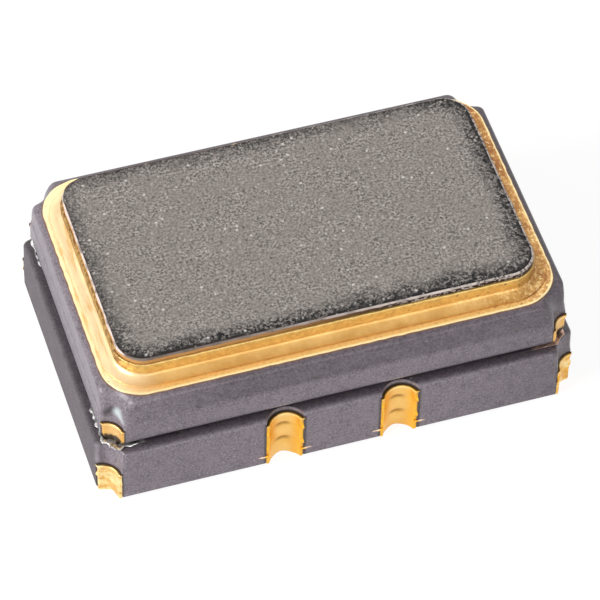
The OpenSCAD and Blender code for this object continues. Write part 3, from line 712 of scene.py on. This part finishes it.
# The gold flat, the braze on it and the ring's wall: profiles of straight lines and quarter
# rounds, carried round the ring's path
def makeSeal(flatGold, ringGold):
    path = roundedPath(sealRing["half"], sealRing["radius"])
    along = path[2]
    flatLow, flatHigh = nodeBox("seal_metallisation")
    z0, z1, soft, inn = flatLow[2], flatHigh[2], sealRing["edgeRound"], sealRing["innerFlat"]
    outer = roundedPath(sealRing["flatHalf"], sealRing["flatRadius"])
    inner = roundedPath([h - inn for h in sealRing["half"]], sealRing["radius"] - inn)
    rim = np.concatenate([[(0, z0)], roundOff(-soft, z1 - soft, soft, 0, quarter, 5),
                          [(-sealRing["rimFlat"], z1)]])
    edge = waver(along, *sealRing["flatSway"])
    flat = np.concatenate([carried(inner, [(0, z0)]), carried(outer, rim, edge, [1] * 6 + [0.5]),
                           carried(path, [(sealRing["besideBraze"], z1)]), carried(inner, [(0, z1)])])
    makePiece("sealFlat", [(flat, True)], flatGold, ["seal_metallisation"])

    # braze: hollow quarter of an ellipse, level at its foot on the flat and upright at its tip on the wall
    width, tip, rise = sealRing["brazeWidth"], sealRing["brazeTip"], sealRing["brazeHeight"]
    turn = np.linspace(0, quarter, 12)
    hollow = np.stack([width * (1 - np.sin(turn)), tip + (rise - tip) * (1 - np.cos(turn))], -1)
    profile = np.concatenate([[(0, 0), (width, 0), (width + 0.001, tip * 0.6)], hollow])
    profile[:, 1] += z1
    shell = carried(path, profile, waver(along, *sealRing["brazeSway"]),
                    [0, 0.5, 1, *np.linspace(1, 0, 12)])
    makePiece("brazeFillet", [(shell, True)], flatGold, ["braze_fillet"])

    ringLow, ringHigh = nodeBox("seal_ring")
    z0, z1, soft, inn = ringLow[2], ringHigh[2], sealRing["topRound"], -sealRing["width"]
    wall = np.concatenate([[(inn, z0), (0, z0), *((0, z0 + up) for up in sealRing["swayFrom"]),
                            (0, z1 - soft - sealRing["belowRound"])],
                           roundOff(-soft, z1 - soft, soft, 0, quarter, 5),
                           [(-sealRing["besideRound"], z1), (inn, z1)]])
    shell = carried(path, wall, waver(along, *sealRing["wallSway"]),
                    [0, 0, 0, 1, 1, 1, 1, 0.7, 0.4, 0, 0, 0])
    makePiece("sealRing", [(shell, True)], ringGold, ["seal_ring"])


# The lid: a flat plate with a quarter round below and a larger one above at its edge, carried
# round the ring's path
def makeLid(material):
    path = roundedPath(sealRing["half"], sealRing["radius"])
    low, high = nodeBox("lid")
    z0, z1, out = low[2], high[2], -lidPlate["setback"]
    top, seam, core = lidPlate["topRound"], lidPlate["seamRound"], -lidPlate["core"]
    profile = np.concatenate([[(core, z0), (out - seam - support, z0)],
                              roundOff(out - seam, z0 + seam, seam, -quarter, 0, 6),
                              roundOff(out - top, z1 - top, top, 0, quarter, 8),
                              [(out - top - lidPlate["besideRound"], z1), (-lidPlate["flatFrom"], z1),
                               (core, z1)]])
    shell = carried(path, profile, waver(path[2], *lidPlate["sway"]),
                    [0, 0.5] + [1] * 14 + [0.8, 0, 0])
    makePiece("lidPlate", [(shell, False)], material, ["lid"])


# Terminals

plating = dict(
    groove=0.014, swell=0.032, endRound=0.016, edgeRound=0.022, edgeInset=0.012, lipReach=0.018,
    lipHeight=0.03, lump=0.0022, root=0.01, thinnest=0.0005, rows=84, facePoints=49, backPoints=13)
cornerTerminal = dict(
    node="corner_terminal_", seed=20, joints=(0.0, 0.235, 0.465), top=0.39, footRound=0.0, pad=(0.85, 0.8),
    padHeight=0.02, padSoft=0.004, padSetback=0.06, axis=(2.5, 1.6), atCorner=True, opening=0.148,
    cream=0.7, blotch=0.75, stainAndShade=0.0, groove=0.25)
sideTerminal = dict(
    node="side_terminal_", seed=30, landSeed=40, joints=(0.0, 0.235, 0.465, 0.695), top=0.625,
    footRound=0.0, pad=(0.7, 0.75), padHeight=0.02, padSoft=0.004, padSetback=0.06, axis=(0.6, 1.665),
    atCorner=False, opening=0.19, stainAndShade=0.0, groove=0.72, landHeight=0.1275, landReach=0.085,
    landHalf=0.012, landProud=0.006)
packageTerminal = dict(
    node="package_terminal_", seed=50, joints=(0.723, 1.055), top=0.97, footRound=upperDeck["bottomRound"],
    pad=(0.7, 0.6), padHeight=0.012, padSoft=0.002, padSetback=0.1, axis=(2.425, 1.525), atCorner=True,
    opening=0.134, cream=0.0, blotch=0.3, stainAndShade=0.81, groove=0.0)


# Plating in a notch, as a closed wall between the notch's own radius and the plated face.
# The plated face swells between the layers' joints by one minus the cube of the distance from
# the layer's middle. The grooves are deepest in the middle of the notch. It is rounded off at
# its upper end and along its two upright edges, which reach out to a lip at each joint and
# follow the deck's rounded lower edge: its radius less the height of its quarter circle.
def platedNotch(axis, signs, radius, facing, span, kind, seed):
    joints, top, curve = kind["joints"], kind["top"], kind["footRound"]
    z = np.linspace(joints[0], top, plating["rows"])
    layer = np.clip(np.searchsorted(joints, z, "right"), 1, len(joints) - 1)
    below, above = np.take(joints, layer - 1), np.take(joints, layer)
    middle = np.abs(2 * z - below - above) / (above - below)
    t = np.linspace(0, 1, plating["facePoints"])
    central = np.sin(math.pi * t) ** 2
    dip = (plating["swell"] - plating["groove"]) * (0.25 + 0.75 * central ** 3)
    depth = plating["swell"] - dip * (middle ** 3)[:, None]
    fall = 1 - np.clip((top - z) / plating["endRound"], 0, 1)
    depth = depth * np.sqrt(1 - 0.97 * fall ** 2)[:, None]
    nearJoint = np.min(np.abs(z[:, None] - np.array([*joints[1:-1], top - 0.01])), 1)
    lip = plating["lipReach"] * np.exp(-(nearJoint / plating["lipHeight"]) ** 2)
    under = np.clip(curve - (z - joints[0]), 0, max(curve - 0.002, 0))
    inset = curve - np.sqrt(curve ** 2 - under ** 2)
    edge = np.arcsin((facing + inset + plating["edgeInset"] - lip) / radius)[:, None]
    turn = span - 2 * edge
    angle = edge + turn * t
    run = np.minimum(t, 1 - t) * turn * radius / plating["edgeRound"]
    soft = np.sqrt(1 - (1 - np.clip(run, 0, 1)) ** 2)
    dice = np.random.default_rng(seed)
    waves = dice.uniform(8, 30, (2, 7))
    phase = dice.uniform(0, 6, 7)
    lumps = np.sin(waves[0] * z[:, None, None] + waves[1] * 0.25 * angle[..., None] + phase).sum(-1)
    face = radius - np.maximum(depth * soft + lumps * plating["lump"] / 3 * soft, plating["thinnest"])
    back = np.full((len(z), plating["backPoints"]), radius + plating["thinnest"])
    reach = np.concatenate([face, back], 1)
    angle = np.concatenate([angle, edge + turn * np.linspace(1, 0, plating["backPoints"])], 1)
    x, y = axis[0] - signs[0] * reach * np.cos(angle), axis[1] - signs[1] * reach * np.sin(angle)
    return atHeights(np.stack([x, y], -1), z)


# A flat pad: its outline, drawn in towards its own middle at its two faces' rounded edges
def padShell(outline, low, high, soft):
    middle = outline.mean(0)
    span = np.ptp(outline, axis=0).min()
    shrink = np.array([1 - 2 * soft / span, 1, 1, 1 - 2 * soft / span])
    loops = middle + (outline - middle) * shrink[:, None, None]
    return atHeights(loops, [low, low + soft, high - soft, high])


# Rectangle with a round bite at one corner: an arc about the deck's own corner
def bittenCorner(far, size, corner, bite, signs):
    x, y = far
    dx, dy = corner[0] - x, corner[1] - y
    start = math.atan2(-math.sqrt(bite ** 2 - dx ** 2), -dx)
    end = math.atan2(-dy, -math.sqrt(bite ** 2 - dy ** 2))
    outline = np.concatenate([[(x - size[0], y - size[1]), (x, y - size[1])],
                              arc(corner[0], corner[1], bite, start, end, 20)[0], [(x - size[0], y)]])
    return outline * np.array(signs)


# Rectangle with a round bite in the middle of one side: an arc about the notch's axis
def bittenSide(x, face, size, axis, bite, sign):
    lean = math.asin((axis - face) / bite)
    bitten = arc(x, axis, bite, lean - math.pi, -lean, 24)[0]
    left, right, deep = x - size[0] / 2, x + size[0] / 2, face - size[1]
    outline = np.concatenate([bitten, [(right, face), (right, deep), (left, deep), (left, face)]])
    return outline * np.array([1, sign])


# Edge of a printed land where it comes out beside a notch: an oval section that thins to a point
def landEdge(x, y, way, seed):
    t = np.linspace(-0.35, 1, 15)[:, None]
    turn = np.linspace(0, 2 * math.pi, 12, endpoint=False)
    dice = np.random.default_rng(seed)
    taper = np.sqrt(np.clip(1 - np.clip(t, 0, 1) ** 1.6, 0.002, 1))
    wobble = 1 + 0.3 * np.sin(9 * t + dice.uniform(0, 6))
    rise = 0.004 * np.sin(5 * t + dice.uniform(0, 6)) * np.clip(t, 0, 1)
    px = np.broadcast_to(x + way * sideTerminal["landReach"] * t, (len(t), len(turn)))
    py = y + sideTerminal["landProud"] * taper * np.cos(turn)
    pz = sideTerminal["landHeight"] + rise + sideTerminal["landHalf"] * wobble * taper * np.sin(turn)
    return np.stack([px, py, pz], -1)


# Terminals at a deck's corners, each a plated notch and a pad below it
def makeCornerTerminals(name, kind, deck, gold):
    half = nodeBox(deck["node"])[1][:2]
    notch, low = deck["cornerNotch"], kind["joints"][0]
    for i, (place, signs) in enumerate(corners.items()):
        wall = platedNotch(half * signs, signs, notch, 0.0, quarter, kind, kind["seed"] + i)
        pad = bittenCorner(half - kind["padSetback"], kind["pad"], half, notch - plating["root"], signs)
        pad = padShell(pad, low, low + kind["padHeight"], kind["padSoft"])
        makePiece(name + "." + place, [(wall, False), (pad, False)], gold, [kind["node"] + place])


# Terminals in the lower deck's long sides, with the lands' edges beside them
def makeSideTerminals(kind, gold):
    half = nodeBox(lowerDeck["node"])[1][:2]
    radius = lowerDeck["sideNotch"]
    facing = radius - lowerDeck["sideDepth"]
    opening, axisY = math.sqrt(radius ** 2 - facing ** 2), half[1] + facing
    for i, (place, (way, sign)) in enumerate(corners.items()):
        x = way * lowerDeck["sidePlaces"][1]
        wall = platedNotch((x, sign * axisY), (1, sign), radius, facing, math.pi, kind, kind["seed"] + i)
        pad = bittenSide(x, half[1] - kind["padSetback"], kind["pad"], axisY, radius - plating["root"], sign)
        pad = padShell(pad, 0, kind["padHeight"], kind["padSoft"])
        lands = [landEdge(x + out * opening, sign * half[1], out, kind["landSeed"] + 2 * i + out)
                 for out in (-1, 1)]
        makePiece("sideTerminal." + place, [(shell, False) for shell in (wall, pad, *lands)], gold,
                  [kind["node"] + place])


# longSide is how near the package's side counts as the long side, and the other three are the
# distances inward from the package's sides at which the bulge starts to die out, and over what length
solderJoint = dict(
    node="solder_joint_", seed=60, margin=0.02, land=(0.7, 0.6), bite=0.222, bulge=0.026,
    lump=(6, 26, 0.015), points=220, longSide=(0.03, 0.005), alongLong=(0.24, 0.1), inwardX=(0.4, 0.1),
    inwardY=(0.56, 0.06), unshadedAcross=(2.0, 2.12),
    share={"front_left": 1.0, "front_right": 0.06, "back_left": 0.7, "back_right": 0.2})


# Solder: the land's outline pushed outward along its normals by a round bulge, which lumps
# along the way and dies out along the long side away from the notch
def makeSolder(bright, dull):
    base, package = nodeBox("lower_ceramic")[1][:2], nodeBox("upper_ceramic")[1][:2]
    outline = bittenCorner(package - solderJoint["margin"], solderJoint["land"], base, solderJoint["bite"],
                           (1, 1))
    closed = np.concatenate([outline, outline[:1]])
    along = np.concatenate([[0], np.cumsum(np.linalg.norm(np.diff(closed, axis=0), axis=1))])
    even = np.linspace(0, along[-1], solderJoint["points"], endpoint=False)
    loop = np.stack([np.interp(even, along, closed[:, i]) for i in (0, 1)], -1)
    tangent = np.roll(loop, -3, 0) - np.roll(loop, 3, 0)
    normal = np.stack([tangent[:, 1], -tangent[:, 0]], -1) / np.linalg.norm(tangent, axis=1)[:, None]

    def past(axis, start, length):
        return np.clip((package[axis] - start - loop[:, axis]) / length, 0, 1)

    near, edge = solderJoint["longSide"]
    onLong = np.clip((loop[:, 1] - (package[1] - near)) / edge, 0, 1)
    inward = np.clip(past(0, *solderJoint["inwardX"]) + past(1, *solderJoint["inwardY"]), 0, 1)
    strength = np.clip(1 - onLong * past(0, *solderJoint["alongLong"]) - inward * (1 - onLong), 0, 1)
    level = np.array([-1, -0.9, -0.6, 0, 0.6, 0.9, 1])
    for i, (place, signs) in enumerate(corners.items()):
        low, high = nodeBox(solderJoint["node"] + place)
        lumps = waver(even / along[-1], *solderJoint["lump"], solderJoint["seed"] + i)
        push = (solderJoint["bulge"] + lumps) * strength * solderJoint["share"][place]
        loops = loop + normal * (np.sqrt(1 - level ** 2)[:, None] * push)[..., None]
        z = (low[2] + high[2]) / 2 + level * (high[2] - low[2]) / 2
        makePiece("solderJoint." + place, [(atHeights(loops * np.array(signs), z), False)],
                  bright if signs[0] < 0 else dull, [solderJoint["node"] + place])


# Build

ceramic = ceramicFinish("deckCeramic", ceramicLook)
cornerGold = goldFinish("cornerGold", terminalLook, terminalDetail(cornerTerminal))
sideGold = goldFinish("sideGold", terminalLook, terminalDetail(sideTerminal))
packageGold = goldFinish("packageGold", packageLook, terminalDetail(packageTerminal))
sealGold = goldFinish("sealGold", sealLook, sealDetail)
ringGold = goldFinish("ringGold", ringLook, ringDetail)
lidShape = dict(
    half=[h - lidPlate["setback"] for h in sealRing["half"]],
    radius=sealRing["radius"] - lidPlate["setback"], top=nodeBox("lid")[1][2])
lidMetal = lidFinish("lidMetal", lidLook, lidShape)
brightSolder = plainFinish("brightSolder", (44, 41, 42), (252, 250, 248), 16.0, 0.22, 0.8, 0.003,
                           unshadedAcross=solderJoint["unshadedAcross"])
dullSolder = plainFinish("dullSolder", (110, 86, 78), (236, 200, 180), 20.0, 0.4, 0.7, 0.003,
                         unshadedAcross=solderJoint["unshadedAcross"])
print("finishes made")

makeDeck("lowerDeck", lowerDeck, ceramic)
makeDeck("upperDeck", upperDeck, ceramic)
print("decks made")
makeSeal(sealGold, ringGold)
makeLid(lidMetal)
print("seal and lid made")
makeCornerTerminals("cornerTerminal", cornerTerminal, lowerDeck, cornerGold)
makeSideTerminals(sideTerminal, sideGold)
makeCornerTerminals("packageTerminal", packageTerminal, upperDeck, packageGold)
makeSolder(brightSolder, dullSolder)
print("terminals and solder made")

innerFinishes = {
    "chip_lands": cornerGold, "chip_bumps": cornerGold, "crystal_pad": cornerGold,
    "deck_land": plainFinish("wettedLand", (48, 42, 44), (96, 88, 88), 20.0, 0.4, 0.5, 0.001),
    "electrode": plainFinish("electrodeGold", (226, 178, 98), (248, 206, 132), 20.0, 0.28, 0.9, 0.0005),
    "quartz_blank": plainFinish("quartz", (214, 220, 222), (232, 236, 238), 8.0, 0.08, 0.0, 0.0002,
                                {"IOR": 1.54, "Coat Weight": 0.2}),
    "adhesive_dot": plainFinish("silverAdhesive", (150, 148, 144), (196, 194, 190), 30.0, 0.5, 0.4, 0.002),
    "oscillator_chip": plainFinish("silicon", (52, 54, 64), (70, 72, 84), 4.0, 0.2, 0.3, 0.0004),
    "chip_underfill": plainFinish("underfillResin", (38, 34, 32), (56, 50, 46), 12.0, 0.35, 0.0, 0.001),
}
for name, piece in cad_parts.items():
    for part, material in innerFinishes.items():
        if part in name and not piece.hide_render:
            piece.data.materials.clear()
            piece.data.materials.append(material)
print("inner pieces finished")


# Floor, light and camera

stageLook = dict(size=0.6, grey=0.86, shadow=0.2, white=1.1, world=0.4)
lamps = {
    "keyPanel": {"from": (-0.12, -0.02, 0.065), "size": 0.07, "watts": 0.18},
    "fillPanel": {"from": (0.02, -0.13, 0.06), "size": 0.09, "watts": 0.045},
    "backPanel": {"from": (0.03, 0.11, 0.1), "size": 0.08, "watts": 0.027},
}
# angles in degrees, distance and aim in mm, focal length, shifts and picture in pixels, sensor in mm
photoCamera = dict(
    azimuth=-18.6025, elevation=50.2378, roll=1.5, distance=42.3, focal=4165.6036, across=-4.623,
    up=-17.8692, aim=(0, 0, 0.75), picture=600, sensor=36, near=0.001, far=2.0)


# 1 for rays that show the surroundings themselves: from the camera, a gloss or through glass
def shownRays(wire):
    ray = wire.node("ShaderNodeLightPath", out="Is Camera Ray")
    return ray.most(ray.other("Is Glossy Ray")).most(ray.other("Is Transmission Ray"))


def makeStage():
    size, grey = stageLook["size"], stageLook["grey"]
    mesh = bpy.data.meshes.new("floor")
    square = [(-size, -size, 0), (size, -size, 0), (size, size, 0), (-size, size, 0)]
    mesh.from_pydata(square, [], [(0, 1, 2, 3)])
    floor = linked("floor", mesh)
    material = bpy.data.materials.new("floorWhite")
    wire = emptyTree(material)
    matt = wire.node("ShaderNodeBsdfDiffuse", {}, {"Color": (grey, grey, grey, 1)})
    white = wire.node("ShaderNodeEmission", {}, {"Color": (1, 1, 1, 1), "Strength": stageLook["white"]})
    shown = shownRays(wire) * (1 - stageLook["shadow"])
    mixed = wire.node("ShaderNodeMixShader", {}, {0: shown, 1: matt, 2: white})
    wire.node("ShaderNodeOutputMaterial", {}, {"Surface": mixed})
    mesh.materials.append(material)

    scene.world = bpy.data.worlds.new("studio")
    wire = emptyTree(scene.world)
    level = shownRays(wire) * (1 - stageLook["world"]) + stageLook["world"]
    sky = wire.node("ShaderNodeBackground", {}, {"Color": (1, 1, 1, 1), "Strength": level})
    wire.node("ShaderNodeOutputWorld", {}, {"Surface": sky})

    for name, lamp in lamps.items():
        light = bpy.data.lights.new(name, "AREA")
        light.size, light.energy = lamp["size"], lamp["watts"]
        place = Vector(lamp["from"])
        turn = (-place).to_track_quat("-Z", "Y").to_matrix().to_4x4()
        linked(name, light).matrix_world = Matrix.Translation(place) @ turn


# The camera stands on the photograph's line of sight, turned by its roll, and is moved sideways
# so that the aim falls as far from the picture's middle as in the photograph
def makeCamera():
    c = photoCamera
    az, el, roll = (math.radians(c[k]) for k in ("azimuth", "elevation", "roll"))
    level = Vector((math.cos(az), math.sin(az), 0))
    back = Vector((math.sin(az) * math.cos(el), -math.cos(az) * math.cos(el), math.sin(el)))
    rise = back.cross(level)
    right = level * math.cos(roll) + rise * math.sin(roll)
    up = rise * math.cos(roll) - level * math.sin(roll)
    perPixel = c["distance"] / c["focal"]
    place = Vector(c["aim"]) + back * c["distance"] - right * c["across"] * perPixel + up * c["up"] * perPixel
    data = bpy.data.cameras.new("photoCamera")
    data.sensor_width, data.lens = c["sensor"], c["focal"] / c["picture"] * c["sensor"]
    data.clip_start, data.clip_end = c["near"], c["far"]
    turn = Matrix((right, up, back)).transposed().to_4x4()
    scene.camera = linked("photoCamera", data)
    scene.camera.matrix_world = Matrix.Translation(place * mm) @ turn


makeStage()
makeCamera()
scene.view_settings.view_transform = "Standard"
print("stage, light and camera made")

bpy.context.view_layer.update()
